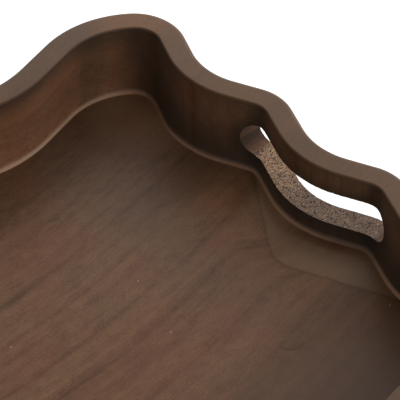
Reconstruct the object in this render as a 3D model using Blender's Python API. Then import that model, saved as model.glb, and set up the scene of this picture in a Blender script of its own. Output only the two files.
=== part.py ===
# Scalloped serving tray, carved from one edge-glued wooden blank.
# Six staves lie side by side, with their grain along X. The glued blank is hollowed to a
# well with a wavy wall of even thickness, and a hand slot goes through the wall at each end.
# Metres, +Z up. The origin is under the middle of the flat base.

import math

import bmesh
import bpy

MM = 0.001

# Driving sizes of the whole tray
OVERALL_LENGTH = 406.4 * MM
OVERALL_WIDTH = 304.8 * MM
WALL_THICKNESS = 14.0 * MM
WELL_DEPTH = 45.0 * MM
FLOOR_THICKNESS = 10.0 * MM

# Scallops of the inner face: three dips to a side, with lobes between them
DIPS_PER_SIDE = 3
END_DIP_DEPTH = 12.0 * MM
END_DIP_RADIUS = 49.5 * MM
END_LOBE_RADIUS = 11.0 * MM
SIDE_DIP_DEPTH = 9.3 * MM
SIDE_DIP_RADIUS = 76.0 * MM
SIDE_LOBE_RADIUS = 32.0 * MM

# Corner lobe: how far its two crests stand back from the inner face's end and side
CORNER_BACK_FROM_END = 33.0 * MM
CORNER_BACK_FROM_SIDE = 20.0 * MM
CORNER_TIP_RADIUS = 13.5 * MM

# Rounded edges of the carved wall, and the cove where it meets the floor
RIM_OUTER_ROUND = 3.0 * MM
RIM_INNER_ROUND = 1.2 * MM
COVE_RADIUS = 3.0 * MM
BASE_ROUND = 2.0 * MM

# The outer face leans in toward the base, by this much at the bottom
BASE_SETBACK = 1.6 * MM

# Hand slots, one through each end wall, with half-round ends
SLOT_LENGTH = 99.0 * MM
SLOT_HEIGHT = 21.0 * MM
SLOT_ABOVE_FLOOR = 10.2 * MM

# Staves of the blank on each side of its middle, from the middle outward. The slots end
# inside the two middle staves, with this much wood left before the next glue line.
STAVES_OF_A_SIDE = ("handle", "inner", "wall")
WOOD_PAST_SLOT = 2.8 * MM
GLUE_GAP = 0.3 * MM

# How finely the curves are faceted, and how far the cutters reach past the wood
OUTLINE_STEP = math.radians(9.0)
ROUND_STEPS = 4
SLOT_END_STEPS = 12
CUTTER_OVERRUN = 10.0 * MM

# A point this close to the next one, as a share of a step, is left out
NEAREST_STEP_SHARE = 0.3

# A dip is never rounder than this share of the room between the crests beside it
ROUNDEST_DIP_SHARE = 0.92

# Colour of the stained wood, and the staves' own tones as shares of it
WOOD_COLOUR = (0.105, 0.062, 0.043)
WOOD_ROUGHNESS = 0.42
TONE_SHARES = {"handle": 1.04, "inner": 0.97, "wall": 1.0}

# Sizes that follow from these
OVERALL_HEIGHT = FLOOR_THICKNESS + WELL_DEPTH
INNER_HALF_LENGTH = OVERALL_LENGTH / 2 - WALL_THICKNESS
INNER_HALF_WIDTH = OVERALL_WIDTH / 2 - WALL_THICKNESS
END_PITCH = 2 * (INNER_HALF_WIDTH - CORNER_BACK_FROM_SIDE) / DIPS_PER_SIDE
SIDE_PITCH = 2 * (INNER_HALF_LENGTH - CORNER_BACK_FROM_END) / DIPS_PER_SIDE
HANDLE_STAVE_WIDTH = SLOT_LENGTH / 2 + WOOD_PAST_SLOT
OTHER_STAVE_WIDTH = (OVERALL_WIDTH / 2 - HANDLE_STAVE_WIDTH) / (len(STAVES_OF_A_SIDE) - 1)

# Which way the outline bends round a circle
LOBE = 1
DIP = -1

# Directions in the wall's section
DOWN = -math.pi / 2
OUT = 0.0
UP = math.pi / 2
INWARD = math.pi


def clear_scene():
    for item in list(bpy.data.objects):
        bpy.data.objects.remove(item)


def shoulder_radius():
    """Radius of the broad arc from the corner's tip to its crest on the long side. It
    touches the tip's own arc, so that the two run into each other."""
    along = CORNER_BACK_FROM_END - CORNER_TIP_RADIUS
    across = CORNER_BACK_FROM_SIDE
    return (along ** 2 + across ** 2 - CORNER_TIP_RADIUS ** 2) / (2 * (across - CORNER_TIP_RADIUS))


def dip_radius(wanted, crest_radius, pitch, depth):
    """A dip's radius, no larger than fits between its crests with a straight flank left."""
    room = ((pitch / 2) ** 2 + depth ** 2) / (2 * depth)
    return min(wanted, ROUNDEST_DIP_SHARE * room - crest_radius)


def quarter_circles():
    """The circles that a quarter of the inner face bends round, from the middle of the +X
    end to the middle of the +Y side. Each is (x, y, radius, LOBE or DIP)."""
    shoulder = shoulder_radius()
    end_dip = dip_radius(END_DIP_RADIUS, CORNER_TIP_RADIUS, END_PITCH, END_DIP_DEPTH)
    side_dip = dip_radius(SIDE_DIP_RADIUS, shoulder, SIDE_PITCH, SIDE_DIP_DEPTH)
    end_dip_x = INNER_HALF_LENGTH - END_DIP_DEPTH + end_dip
    side_dip_y = INNER_HALF_WIDTH - SIDE_DIP_DEPTH + side_dip
    end_crest_y = INNER_HALF_WIDTH - CORNER_BACK_FROM_SIDE
    side_crest_x = INNER_HALF_LENGTH - CORNER_BACK_FROM_END
    return [
        (end_dip_x, 0.0, end_dip, DIP),
        (INNER_HALF_LENGTH - END_LOBE_RADIUS, END_PITCH / 2, END_LOBE_RADIUS, LOBE),
        (end_dip_x, END_PITCH, end_dip, DIP),
        (INNER_HALF_LENGTH - CORNER_TIP_RADIUS, end_crest_y, CORNER_TIP_RADIUS, LOBE),
        (side_crest_x, INNER_HALF_WIDTH - shoulder, shoulder, LOBE),
        (SIDE_PITCH, side_dip_y, side_dip, DIP),
        (SIDE_PITCH / 2, INNER_HALF_WIDTH - SIDE_LOBE_RADIUS, SIDE_LOBE_RADIUS, LOBE),
        (0.0, side_dip_y, side_dip, DIP),
    ]


def all_circles():
    """The quarter's circles mirrored into the other quarters, anticlockwise all round."""
    first = quarter_circles()
    mirrored_x = [(-x, y, radius, bend) for x, y, radius, bend in first]
    mirrored_y = [(x, -y, radius, bend) for x, y, radius, bend in first]
    mirrored_both = [(-x, -y, radius, bend) for x, y, radius, bend in first]
    return first + mirrored_x[-2::-1] + mirrored_both[1:] + mirrored_y[-2:0:-1]


def tangent_angle(circle, following):
    """Direction of the outward normal on the straight line that touches two circles."""
    x_1, y_1, radius_1, bend_1 = circle
    x_2, y_2, radius_2, bend_2 = following
    distance = math.hypot(x_2 - x_1, y_2 - y_1)
    share = (bend_1 * radius_1 - bend_2 * radius_2) / distance
    share = max(-1.0, min(1.0, share))
    return math.atan2(y_2 - y_1, x_2 - x_1) - math.acos(share)


def arc_angles(begin, end):
    """Angles from begin to end by whole steps, so that every crest gets a point of its own."""
    low, high = sorted((begin, end))
    first = math.floor(low / OUTLINE_STEP + NEAREST_STEP_SHARE) + 1
    last = math.ceil(high / OUTLINE_STEP - NEAREST_STEP_SHARE)
    angles = [low] + [step * OUTLINE_STEP for step in range(first, last)] + [high]
    return angles if begin < end else angles[::-1]


def outline(offset):
    """Points of the inner face's outline, moved outward by an offset. Outlines of different
    offsets have the same number of points, each on the same normal."""
    circles = all_circles()
    normals = []
    for place, circle in enumerate(circles):
        normals.append(tangent_angle(circle, circles[(place + 1) % len(circles)]))
    points = []
    for place, (x, y, radius, bend) in enumerate(circles):
        begin = normals[place - 1]
        sweep = math.remainder(normals[place] - begin, 2 * math.pi)
        reach = bend * radius + offset
        for angle in arc_angles(begin, begin + sweep):
            points.append((x + reach * math.cos(angle), y + reach * math.sin(angle)))
        following_bend = circles[(place + 1) % len(circles)][3]
        if following_bend == bend:
            points.pop()
    return points


def rounded(across, height, radius, begin, end):
    """Points of a rounded edge in the wall's section, as (offset, height)."""
    points = []
    for step in range(ROUND_STEPS + 1):
        angle = begin + (end - begin) * step / ROUND_STEPS
        points.append((across + radius * math.cos(angle), height + radius * math.sin(angle)))
    return points


def wall_section():
    """The section from under the base, up the outside, over the rim and down to the floor."""
    wall = WALL_THICKNESS
    top = OVERALL_HEIGHT
    return (
        rounded(wall - BASE_SETBACK - BASE_ROUND, BASE_ROUND, BASE_ROUND, DOWN, OUT)
        + rounded(wall - RIM_OUTER_ROUND, top - RIM_OUTER_ROUND, RIM_OUTER_ROUND, OUT, UP)
        + rounded(RIM_INNER_ROUND, top - RIM_INNER_ROUND, RIM_INNER_ROUND, UP, INWARD)
        + rounded(-COVE_RADIUS, FLOOR_THICKNESS + COVE_RADIUS, COVE_RADIUS, OUT, DOWN)
    )


def mesh_from_rings(name, rings):
    """A closed solid from rings of points that match one to one, capped at both ends."""
    shape = bmesh.new()
    loops = []
    for ring in rings:
        loops.append([shape.verts.new(point) for point in ring])
    for lower, upper in zip(loops, loops[1:]):
        for place in range(len(lower)):
            after = (place + 1) % len(lower)
            shape.faces.new((lower[place], lower[after], upper[after], upper[place]))
    shape.faces.new(reversed(loops[0]))
    shape.faces.new(loops[-1])
    bmesh.ops.recalc_face_normals(shape, faces=shape.faces)
    mesh = bpy.data.meshes.new(name)
    shape.to_mesh(mesh)
    shape.free()
    return mesh


def carved_mesh():
    """The whole carved tray, before it is parted along its glue lines."""
    rings = []
    for offset, height in wall_section():
        rings.append([(x, y, height) for x, y in outline(offset)])
    mesh = mesh_from_rings("carved_tray", rings)
    mesh.shade_smooth()
    mesh.set_sharp_from_angle(angle=math.radians(35))
    return mesh


def add_cutter(name, mesh):
    cutter = bpy.data.objects.new(name, mesh)
    bpy.context.collection.objects.link(cutter)
    cutter.hide_render = True
    cutter.display_type = "WIRE"
    return cutter


def slab_cutter(name, low_y, high_y):
    """The slab of space that one stave fills, open past the tray's ends, top and base."""
    far_x = OVERALL_LENGTH / 2 + CUTTER_OVERRUN
    low_z = -CUTTER_OVERRUN
    high_z = OVERALL_HEIGHT + CUTTER_OVERRUN
    rings = []
    for z in (low_z, high_z):
        rings.append([(-far_x, low_y, z), (far_x, low_y, z), (far_x, high_y, z), (-far_x, high_y, z)])
    return add_cutter(name, mesh_from_rings(name, rings))


def slot_cutter():
    """Both hand slots at once: a bar with half-round sides that runs through both end walls."""
    far_x = OVERALL_LENGTH / 2 + CUTTER_OVERRUN
    end_radius = SLOT_HEIGHT / 2
    middle_z = FLOOR_THICKNESS + SLOT_ABOVE_FLOOR + end_radius
    section = []
    for side in (1, -1):
        for step in range(SLOT_END_STEPS + 1):
            angle = math.pi * (step / SLOT_END_STEPS - 0.5)
            y = side * (SLOT_LENGTH / 2 - end_radius + end_radius * math.cos(angle))
            z = middle_z + side * end_radius * math.sin(angle)
            section.append((y, z))
    rings = []
    for x in (-far_x, far_x):
        rings.append([(x, y, z) for y, z in section])
    return add_cutter("slot_cutter", mesh_from_rings("slot_cutter", rings))


def add_boolean(piece, operation, cutter):
    cut = piece.modifiers.new(cutter.name, "BOOLEAN")
    cut.operation = operation
    cut.solver = "EXACT"
    cut.object = cutter


def stave_material(name, tone):
    material = bpy.data.materials.new(name)
    material.use_nodes = True
    shader = material.node_tree.nodes["Principled BSDF"]
    red, green, blue = (tone * channel for channel in WOOD_COLOUR)
    shader.inputs["Base Color"].default_value = (red, green, blue, 1.0)
    shader.inputs["Roughness"].default_value = WOOD_ROUGHNESS
    shader.inputs["Metallic"].default_value = 0.0
    return material


def add_stave(side, place, carved, slots, tray):
    """One stave: its slab of the carved tray, less the hand slots where they reach it. side
    is 1 for the left (+Y) and -1 for the right, and place counts from the middle outward."""
    kind = STAVES_OF_A_SIDE[place]
    name = "stave_" + ("left" if side > 0 else "right") + "_" + kind
    near = GLUE_GAP / 2
    far = HANDLE_STAVE_WIDTH + place * OTHER_STAVE_WIDTH - GLUE_GAP / 2
    if place > 0:
        near = far + GLUE_GAP - OTHER_STAVE_WIDTH
    if place == len(STAVES_OF_A_SIDE) - 1:
        far += CUTTER_OVERRUN
    low_y, high_y = sorted((side * near, side * far))
    stave = bpy.data.objects.new(name, carved.copy())
    bpy.context.collection.objects.link(stave)
    stave.parent = tray
    stave.data.materials.append(stave_material(name, TONE_SHARES[kind]))
    add_boolean(stave, "INTERSECT", slab_cutter(name + "_slab", low_y, high_y))
    if near < SLOT_LENGTH / 2:
        add_boolean(stave, "DIFFERENCE", slots)
    return stave


clear_scene()
tray_frame = bpy.data.objects.new("tray", None)
bpy.context.collection.objects.link(tray_frame)
carved_tray = carved_mesh()
slot_bar = slot_cutter()
for stave_side in (1, -1):
    for stave_place in range(len(STAVES_OF_A_SIDE)):
        add_stave(stave_side, stave_place, carved_tray, slot_bar, tray_frame)
bpy.data.meshes.remove(carved_tray)
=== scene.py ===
# A scalloped serving tray: six staves glued edge to edge, carved, stained dark and lacquered.
# Metres, +Z up. The origin is under the middle of the flat base.

import math

import bmesh
import bpy
from mathutils import Matrix, Vector, noise


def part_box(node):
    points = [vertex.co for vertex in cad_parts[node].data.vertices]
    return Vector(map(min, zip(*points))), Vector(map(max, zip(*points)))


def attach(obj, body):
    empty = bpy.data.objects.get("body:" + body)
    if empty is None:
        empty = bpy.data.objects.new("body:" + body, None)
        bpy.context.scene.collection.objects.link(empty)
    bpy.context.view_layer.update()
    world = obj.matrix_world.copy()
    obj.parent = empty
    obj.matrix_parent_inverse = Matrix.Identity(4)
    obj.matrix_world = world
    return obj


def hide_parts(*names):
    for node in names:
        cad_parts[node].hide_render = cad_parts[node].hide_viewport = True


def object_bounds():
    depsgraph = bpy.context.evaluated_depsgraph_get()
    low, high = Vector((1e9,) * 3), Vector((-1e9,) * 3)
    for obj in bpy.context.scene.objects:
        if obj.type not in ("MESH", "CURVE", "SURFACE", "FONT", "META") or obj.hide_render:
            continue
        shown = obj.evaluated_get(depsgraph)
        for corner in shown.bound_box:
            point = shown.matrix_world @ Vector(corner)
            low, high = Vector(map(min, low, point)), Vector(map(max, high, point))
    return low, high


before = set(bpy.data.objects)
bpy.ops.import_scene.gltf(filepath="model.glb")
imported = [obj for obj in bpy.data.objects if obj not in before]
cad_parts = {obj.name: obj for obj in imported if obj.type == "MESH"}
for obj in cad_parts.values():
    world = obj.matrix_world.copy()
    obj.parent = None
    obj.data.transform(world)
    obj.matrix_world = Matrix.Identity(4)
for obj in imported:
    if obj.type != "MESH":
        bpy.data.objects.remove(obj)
cad_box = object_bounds()

# Handle staves. The two middle staves of the glued blank, stained hardwood about 2 in wide.
# They are carved with the rest of the tray, and each holds half of both hand slots, which
# are cut straight through the end walls and left unsanded.

MM = 0.001
HALF_LENGTH = max(cad_box[1][0], -cad_box[0][0])
HALF_WIDTH = max(cad_box[1][1], -cad_box[0][1])
TOP = cad_box[1][2]
WALL_THICKNESS = 14.0 * MM
FLOOR_THICKNESS = 10.0 * MM
INNER_HALF_LENGTH = HALF_LENGTH - WALL_THICKNESS
INNER_HALF_WIDTH = HALF_WIDTH - WALL_THICKNESS

END_DIP_DEPTH = 12.0 * MM
END_DIP_RADIUS = 49.5 * MM
END_LOBE_RADIUS = 11.0 * MM
SIDE_DIP_DEPTH = 9.3 * MM
SIDE_DIP_RADIUS = 76.0 * MM
SIDE_LOBE_RADIUS = 32.0 * MM
CORNER_BACK_FROM_END = 33.0 * MM
CORNER_BACK_FROM_SIDE = 20.0 * MM
CORNER_TIP_RADIUS = 13.5 * MM
DIPS_PER_SIDE = 3
END_PITCH = 2 * (INNER_HALF_WIDTH - CORNER_BACK_FROM_SIDE) / DIPS_PER_SIDE
SIDE_PITCH = 2 * (INNER_HALF_LENGTH - CORNER_BACK_FROM_END) / DIPS_PER_SIDE
END_DIP_X = INNER_HALF_LENGTH - END_DIP_DEPTH + END_DIP_RADIUS
SIDE_DIP_Y = INNER_HALF_WIDTH - SIDE_DIP_DEPTH + SIDE_DIP_RADIUS

RIM_OUTER_ROUND = 3.0 * MM
RIM_INNER_ROUND = 1.2 * MM
COVE_RADIUS = 3.0 * MM
BASE_ROUND = 2.0 * MM
BASE_SETBACK = 1.6 * MM

SLOT_LENGTH = 99.0 * MM
SLOT_HEIGHT = 21.0 * MM
SLOT_ABOVE_FLOOR = 10.2 * MM
SLOT_MIDDLE_Z = FLOOR_THICKNESS + SLOT_ABOVE_FLOOR + SLOT_HEIGHT / 2
SLOT_HALF_FLAT = (SLOT_LENGTH - SLOT_HEIGHT) / 2
SAW_MARK_SPACING = 0.7 * MM
TORN_DEPTH = 0.22 * MM
PIT_DEPTH = 0.6 * MM
TORN_SIZE = 1.7 * MM
PIT_SPACING = 3.0 * MM
PIT_RADIUS_SHARE = 0.26
PITS_LEFT_OUT = 0.1
SMOOTH_END_LENGTH = 7.0 * MM
LEAST_ROUGHNESS = 0.1

GLUE_LINE = 0.02 * MM
GLUE_GAP_IN_CAD = 0.3 * MM
CUT_OVERRUN = 10.0 * MM
OUTLINE_STEP = math.radians(3.0)
NEAREST_STEP_SHARE = 0.3
ROUND_STEPS = 8
EDGE_ANGLE = math.radians(35.0)

LOBE = 1
DIP = -1
DOWN = -math.pi / 2
OUT = 0.0
UP = math.pi / 2
INWARD = math.pi


def quarter_circles():
    """The circles that a quarter of the inner face bends round, from the middle of the +X
    end to the middle of the +Y side. Each is (x, y, radius, LOBE or DIP)."""
    along = CORNER_BACK_FROM_END - CORNER_TIP_RADIUS
    across = CORNER_BACK_FROM_SIDE
    shoulder = (along ** 2 + across ** 2 - CORNER_TIP_RADIUS ** 2) / (2 * (across - CORNER_TIP_RADIUS))
    end_crest_y = INNER_HALF_WIDTH - CORNER_BACK_FROM_SIDE
    side_crest_x = INNER_HALF_LENGTH - CORNER_BACK_FROM_END
    return [
        (END_DIP_X, 0.0, END_DIP_RADIUS, DIP),
        (INNER_HALF_LENGTH - END_LOBE_RADIUS, END_PITCH / 2, END_LOBE_RADIUS, LOBE),
        (END_DIP_X, END_PITCH, END_DIP_RADIUS, DIP),
        (INNER_HALF_LENGTH - CORNER_TIP_RADIUS, end_crest_y, CORNER_TIP_RADIUS, LOBE),
        (side_crest_x, INNER_HALF_WIDTH - shoulder, shoulder, LOBE),
        (SIDE_PITCH, SIDE_DIP_Y, SIDE_DIP_RADIUS, DIP),
        (SIDE_PITCH / 2, INNER_HALF_WIDTH - SIDE_LOBE_RADIUS, SIDE_LOBE_RADIUS, LOBE),
        (0.0, SIDE_DIP_Y, SIDE_DIP_RADIUS, DIP),
    ]


def all_circles():
    """The quarter's circles mirrored into the other quarters, anticlockwise all round."""
    first = quarter_circles()
    mirrored_x = [(-x, y, radius, bend) for x, y, radius, bend in first]
    mirrored_y = [(x, -y, radius, bend) for x, y, radius, bend in first]
    mirrored_both = [(-x, -y, radius, bend) for x, y, radius, bend in first]
    return first + mirrored_x[-2::-1] + mirrored_both[1:] + mirrored_y[-2:0:-1]


def tangent_angle(circle, following):
    """Direction of the outward normal on the straight line that touches two circles."""
    x_1, y_1, radius_1, bend_1 = circle
    x_2, y_2, radius_2, bend_2 = following
    distance = math.hypot(x_2 - x_1, y_2 - y_1)
    share = (bend_1 * radius_1 - bend_2 * radius_2) / distance
    share = max(-1.0, min(1.0, share))
    return math.atan2(y_2 - y_1, x_2 - x_1) - math.acos(share)


def arc_angles(begin, end):
    """Angles from begin to end by whole steps, so that every crest gets a point of its own."""
    low, high = sorted((begin, end))
    first = math.floor(low / OUTLINE_STEP + NEAREST_STEP_SHARE) + 1
    last = math.ceil(high / OUTLINE_STEP - NEAREST_STEP_SHARE)
    angles = [low] + [step * OUTLINE_STEP for step in range(first, last)] + [high]
    return angles if begin < end else angles[::-1]


def scallops(offset):
    """Points of the inner face's outline, moved outward by an offset. Two arcs that bend the
    same way meet in one shared point."""
    circles = all_circles()
    following = circles[1:] + circles[:1]
    normals = [tangent_angle(*pair) for pair in zip(circles, following)]
    points = []
    for place, (x, y, radius, bend) in enumerate(circles):
        begin = normals[place - 1]
        sweep = math.remainder(normals[place] - begin, 2 * math.pi)
        reach = bend * radius + offset
        for angle in arc_angles(begin, begin + sweep):
            points.append((x + reach * math.cos(angle), y + reach * math.sin(angle)))
        *_, next_bend = following[place]
        if next_bend == bend:
            points.pop()
    return points


def rounded(across, height, radius, begin, end):
    """Points of a rounded edge in the wall's section, as (offset, height)."""
    points = []
    for step in range(ROUND_STEPS + 1):
        angle = begin + (end - begin) * step / ROUND_STEPS
        points.append((across + radius * math.cos(angle), height + radius * math.sin(angle)))
    return points


def wall_section():
    """From under the base, up the outside, over the rim and down to the floor."""
    wall = WALL_THICKNESS
    return (
        rounded(wall - BASE_SETBACK - BASE_ROUND, BASE_ROUND, BASE_ROUND, DOWN, OUT)
        + rounded(wall - RIM_OUTER_ROUND, TOP - RIM_OUTER_ROUND, RIM_OUTER_ROUND, OUT, UP)
        + rounded(RIM_INNER_ROUND, TOP - RIM_INNER_ROUND, RIM_INNER_ROUND, UP, INWARD)
        + rounded(-COVE_RADIUS, FLOOR_THICKNESS + COVE_RADIUS, COVE_RADIUS, OUT, DOWN)
    )


def lofted(name, rings):
    """A closed mesh through rings of points that match one to one, capped at both ends."""
    shape = bmesh.new()
    loops = []
    for ring in rings:
        loops.append([shape.verts.new(point) for point in ring])
    for lower, upper in zip(loops, loops[1:]):
        for place in range(len(lower)):
            after = (place + 1) % len(lower)
            shape.faces.new((lower[place], lower[after], upper[after], upper[place]))
    shape.faces.new(reversed(loops[0]))
    shape.faces.new(loops[-1])
    bmesh.ops.recalc_face_normals(shape, faces=shape.faces)
    mesh = bpy.data.meshes.new(name)
    shape.to_mesh(mesh)
    shape.free()
    mesh.shade_smooth()
    return mesh


def carved_blank():
    """The whole carved tray, before it is parted into its staves."""
    rings = []
    for offset, height in wall_section():
        rings.append([(x, y, height) for x, y in scallops(offset)])
    return lofted("carved_blank", rings)


def linked(name, mesh):
    """An object of that name, put in the scene."""
    item = bpy.data.objects.new(name, mesh)
    bpy.context.collection.objects.link(item)
    return item


def stave_slab(name, low_y, high_y):
    """The slab of space that one stave fills, open past the tray's ends, top and base."""
    far_x = HALF_LENGTH + CUT_OVERRUN
    rings = []
    for z in (-CUT_OVERRUN, TOP + CUT_OVERRUN):
        rings.append([(-far_x, low_y, z), (far_x, low_y, z), (far_x, high_y, z), (-far_x, high_y, z)])
    return linked(name, lofted(name, rings))


def torn(point):
    """How far the saw tore into the wood at a point: shallow ripples, and here and there a pit."""
    place = Vector(point)
    ripple = noise.noise(place / TORN_SIZE) * TORN_DEPTH
    distances, centres = noise.voronoi(place / PIT_SPACING)
    pit = max(0.0, 1.0 - distances[0] / PIT_RADIUS_SHARE)
    if noise.cell(centres[0]) < PITS_LEFT_OUT:
        pit = 0.0
    flat_left = SLOT_HALF_FLAT - abs(point[1])
    roughness = max(LEAST_ROUGHNESS, min(1.0, 1.0 + flat_left / SMOOTH_END_LENGTH))
    return roughness * (ripple + PIT_DEPTH * pit)


def slot_outline():
    """Points of the hand slot's outline and their outward directions, evenly spaced."""
    end_radius = SLOT_HEIGHT / 2
    flat_steps = round(2 * SLOT_HALF_FLAT / SAW_MARK_SPACING)
    round_steps = round(math.pi * end_radius / SAW_MARK_SPACING)
    points = []
    for side in (1, -1):
        for step in range(round_steps):
            angle = math.pi * (step / round_steps - 0.5)
            across = math.cos(angle)
            rise = side * math.sin(angle)
            points.append((side * (SLOT_HALF_FLAT + end_radius * across),
                           SLOT_MIDDLE_Z + end_radius * rise, side * across, rise))
        for step in range(flat_steps):
            points.append((side * SLOT_HALF_FLAT * (1 - 2 * step / flat_steps),
                           SLOT_MIDDLE_Z + side * end_radius, 0.0, side))
    return points


def slot_saw(side, rough_wood):
    """The bar that cuts one hand slot, with the torn surface that the saw left."""
    near_x = INNER_HALF_LENGTH - END_DIP_DEPTH - CUT_OVERRUN / 2
    far_x = HALF_LENGTH + CUT_OVERRUN / 2
    steps = round((far_x - near_x) / SAW_MARK_SPACING)
    rings = []
    for step in range(steps + 1):
        x = side * (near_x + (far_x - near_x) * step / steps)
        ring = []
        for y, z, across, rise in slot_outline():
            depth = torn((x, y, z))
            ring.append((x, y + across * depth, z + rise * depth))
        rings.append(ring)
    name = "slot_saw_front" if side > 0 else "slot_saw_back"
    saw = linked(name, lofted(name, rings))
    saw.data.materials.append(rough_wood)
    return saw


def cut(piece, way, cutter):
    """A boolean cut. The cut faces take the cutter's material, if it has one."""
    step = piece.modifiers.new(cutter.name, "BOOLEAN")
    step.operation = way
    step.solver = "EXACT"
    step.object = cutter
    step.material_mode = "TRANSFER"


def add_node(tree, kind, inputs, **settings):
    """A shader node with its settings, and its inputs set to values or joined to sockets."""
    node = tree.nodes.new("ShaderNode" + kind)
    for name, value in settings.items():
        setattr(node, name, value)
    for key, value in inputs.items():
        if isinstance(value, bpy.types.NodeSocket):
            tree.links.new(value, node.inputs[key])
        else:
            node.inputs[key].default_value = value
    return node


def sum_of(tree, operation, *values):
    """The output of a Math node."""
    return add_node(tree, "Math", dict(enumerate(values)), operation=operation).outputs[0]


def product(tree, first, *others):
    """Values multiplied together."""
    for other in others:
        first = sum_of(tree, "MULTIPLY", first, other)
    return first


def spared(tree, mask, share=1.0):
    """What a mask spares: 1 where the mask is 0, and less by a share where it is 1."""
    return sum_of(tree, "MULTIPLY_ADD", mask, -share, 1.0)


def between(tree, value, start, end):
    """Rises smoothly from 0 at a start value to 1 at an end value, which may be the lower one."""
    inputs = {"Value": value, "From Min": start, "From Max": end, "To Min": 0.0, "To Max": 1.0}
    return add_node(tree, "MapRange", inputs, interpolation_type="SMOOTHSTEP").outputs[0]


def bell(tree, away, width):
    """A soft line: 1 where a distance is 0, and a half where it is the width."""
    away = sum_of(tree, "DIVIDE", away, width)
    return sum_of(tree, "DIVIDE", 1.0, sum_of(tree, "MULTIPLY_ADD", away, away, 1.0))


def distance_from(tree, x, y, centre=(0.0, 0.0)):
    """How far a point lies from a centre."""
    away_x = sum_of(tree, "SUBTRACT", x, centre[0])
    away_y = sum_of(tree, "SUBTRACT", y, centre[1])
    squared = sum_of(tree, "MULTIPLY_ADD", away_x, away_x, product(tree, away_y, away_y))
    return sum_of(tree, "SQRT", squared)


def spot(tree, x, y, centre, full_to, ends_at):
    """1 within a distance of a centre in plan, and 0 beyond a longer one."""
    return between(tree, distance_from(tree, x, y, centre), ends_at, full_to)


def parts_of(tree, vector):
    """A vector's x, y and z."""
    return add_node(tree, "SeparateXYZ", {0: vector}).outputs


# The numbers of a Mix node's sockets for colours, because its sockets share their names
MIX_SHARE = 0
MIX_BELOW = 6
MIX_ABOVE = 7
MIX_RESULT = 2


def stained(tree, mask, stain, over):
    """A colour laid over another where a mask is. It lays the stains, and the painted light and shade
    too.
    """
    inputs = {MIX_SHARE: mask, MIX_BELOW: over, MIX_ABOVE: stain}
    return add_node(tree, "Mix", inputs, data_type="RGBA").outputs[MIX_RESULT]


def fibres(tree, place, size, detail=1.0):
    """Noise whose blobs have the given size along, across and up, in metres, from 0 to 1."""
    stretched = add_node(tree, "VectorMath", {0: place, 1: size}, operation="DIVIDE").outputs[0]
    inputs = {"Vector": stretched, "Scale": 1.0, "Detail": detail}
    return add_node(tree, "TexNoise", inputs).outputs["Fac"]


def swayed(tree, base, *parts):
    """A base value swayed by values that lie about a half, each given with its weight."""
    for value, weight in parts:
        centred = sum_of(tree, "SUBTRACT", value, 0.5)
        base = sum_of(tree, "MULTIPLY_ADD", centred, weight, base)
    return base


def new_group(name, inputs, outputs):
    """An empty shader node group, with inputs as (name, kind, value) and outputs as (name, kind)."""
    group = bpy.data.node_groups.new(name, "ShaderNodeTree")
    for label, kind, value in inputs:
        socket = group.interface.new_socket(name=label, in_out="INPUT", socket_type="NodeSocket" + kind)
        socket.default_value = value
    for label, kind in outputs:
        group.interface.new_socket(name=label, in_out="OUTPUT", socket_type="NodeSocket" + kind)
    return group, group.nodes.new("NodeGroupInput"), group.nodes.new("NodeGroupOutput")


def put_out(group, result, values):
    """Joins values to a group's outputs by their names."""
    for name, value in values.items():
        group.links.new(value, result.inputs[name])


GRAIN_SLOPE = 0.155
GRAIN_RISES_FROM = 70.0 * MM
GRAIN_BEND = 60.0 * MM
RING_LEAN_ENDS = 0.078
RING_LEAN_SIDES = 0.9
RING_LEAN_FROM = 96.0 * MM
RING_LEAN_TO = 128.0 * MM
SWERVE = 12.0 * MM
SWERVE_Y = -8.0 * MM
SWERVE_FULL_TO = 6.0 * MM
SWERVE_ENDS_AT = 36.0 * MM
SWERVE_FROM_X = 138.0 * MM
SWERVE_TO_X = 160.0 * MM
WANDER_SIZE = (210.0 * MM, 70.0 * MM, 90.0 * MM)
WANDER = 6.0 * MM
RIPPLE_SIZE = (36.0 * MM, 24.0 * MM, 30.0 * MM)
RIPPLE = 3.0 * MM


def grain_lay():
    """Where a point lies in the tree: along the fibres, across the growth rings, and up. The
    rings stand nearly upright in the middle staves and lean over in the side walls. The grain
    rises toward one end and swerves in front of the hand slot there."""
    group, _, result = new_group("grain_lay", [], [("Lay", "Vector"), ("Place", "Vector")])
    place = add_node(group, "TexCoord", {}).outputs["Object"]
    x, y, z = parts_of(group, place)
    toward_side = between(group, sum_of(group, "ABSOLUTE", y), RING_LEAN_FROM, RING_LEAN_TO)
    lean = sum_of(group, "MULTIPLY_ADD", toward_side, RING_LEAN_SIDES, RING_LEAN_ENDS)
    across = swayed(group, y, (fibres(group, place, WANDER_SIZE), WANDER),
                    (fibres(group, place, RIPPLE_SIZE), RIPPLE))
    rising = sum_of(group, "SUBTRACT", x, GRAIN_RISES_FROM)
    rising = sum_of(group, "SMOOTH_MAX", rising, 0.0, GRAIN_BEND)
    across = sum_of(group, "MULTIPLY_ADD", rising, -GRAIN_SLOPE, across)
    from_swerve = sum_of(group, "ABSOLUTE", sum_of(group, "SUBTRACT", y, SWERVE_Y))
    swerve = product(group, between(group, from_swerve, SWERVE_ENDS_AT, SWERVE_FULL_TO),
                     between(group, x, SWERVE_FROM_X, SWERVE_TO_X))
    across = sum_of(group, "MULTIPLY_ADD", swerve, SWERVE, across)
    above_floor = sum_of(group, "SUBTRACT", z, FLOOR_THICKNESS)
    across = sum_of(group, "SUBTRACT", across, product(group, lean, above_floor))
    lay = add_node(group, "CombineXYZ", {0: x, 1: across, 2: z}).outputs[0]
    put_out(group, result, {"Lay": lay, "Place": place})
    return group


LINE_FADE_SIZE = (70.0 * MM, 9.0 * MM, 60.0 * MM)
LINE_FADE_FROM = 0.65
LINE_FADE_TO = 0.30
LINE_FADE = 0.3


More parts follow.
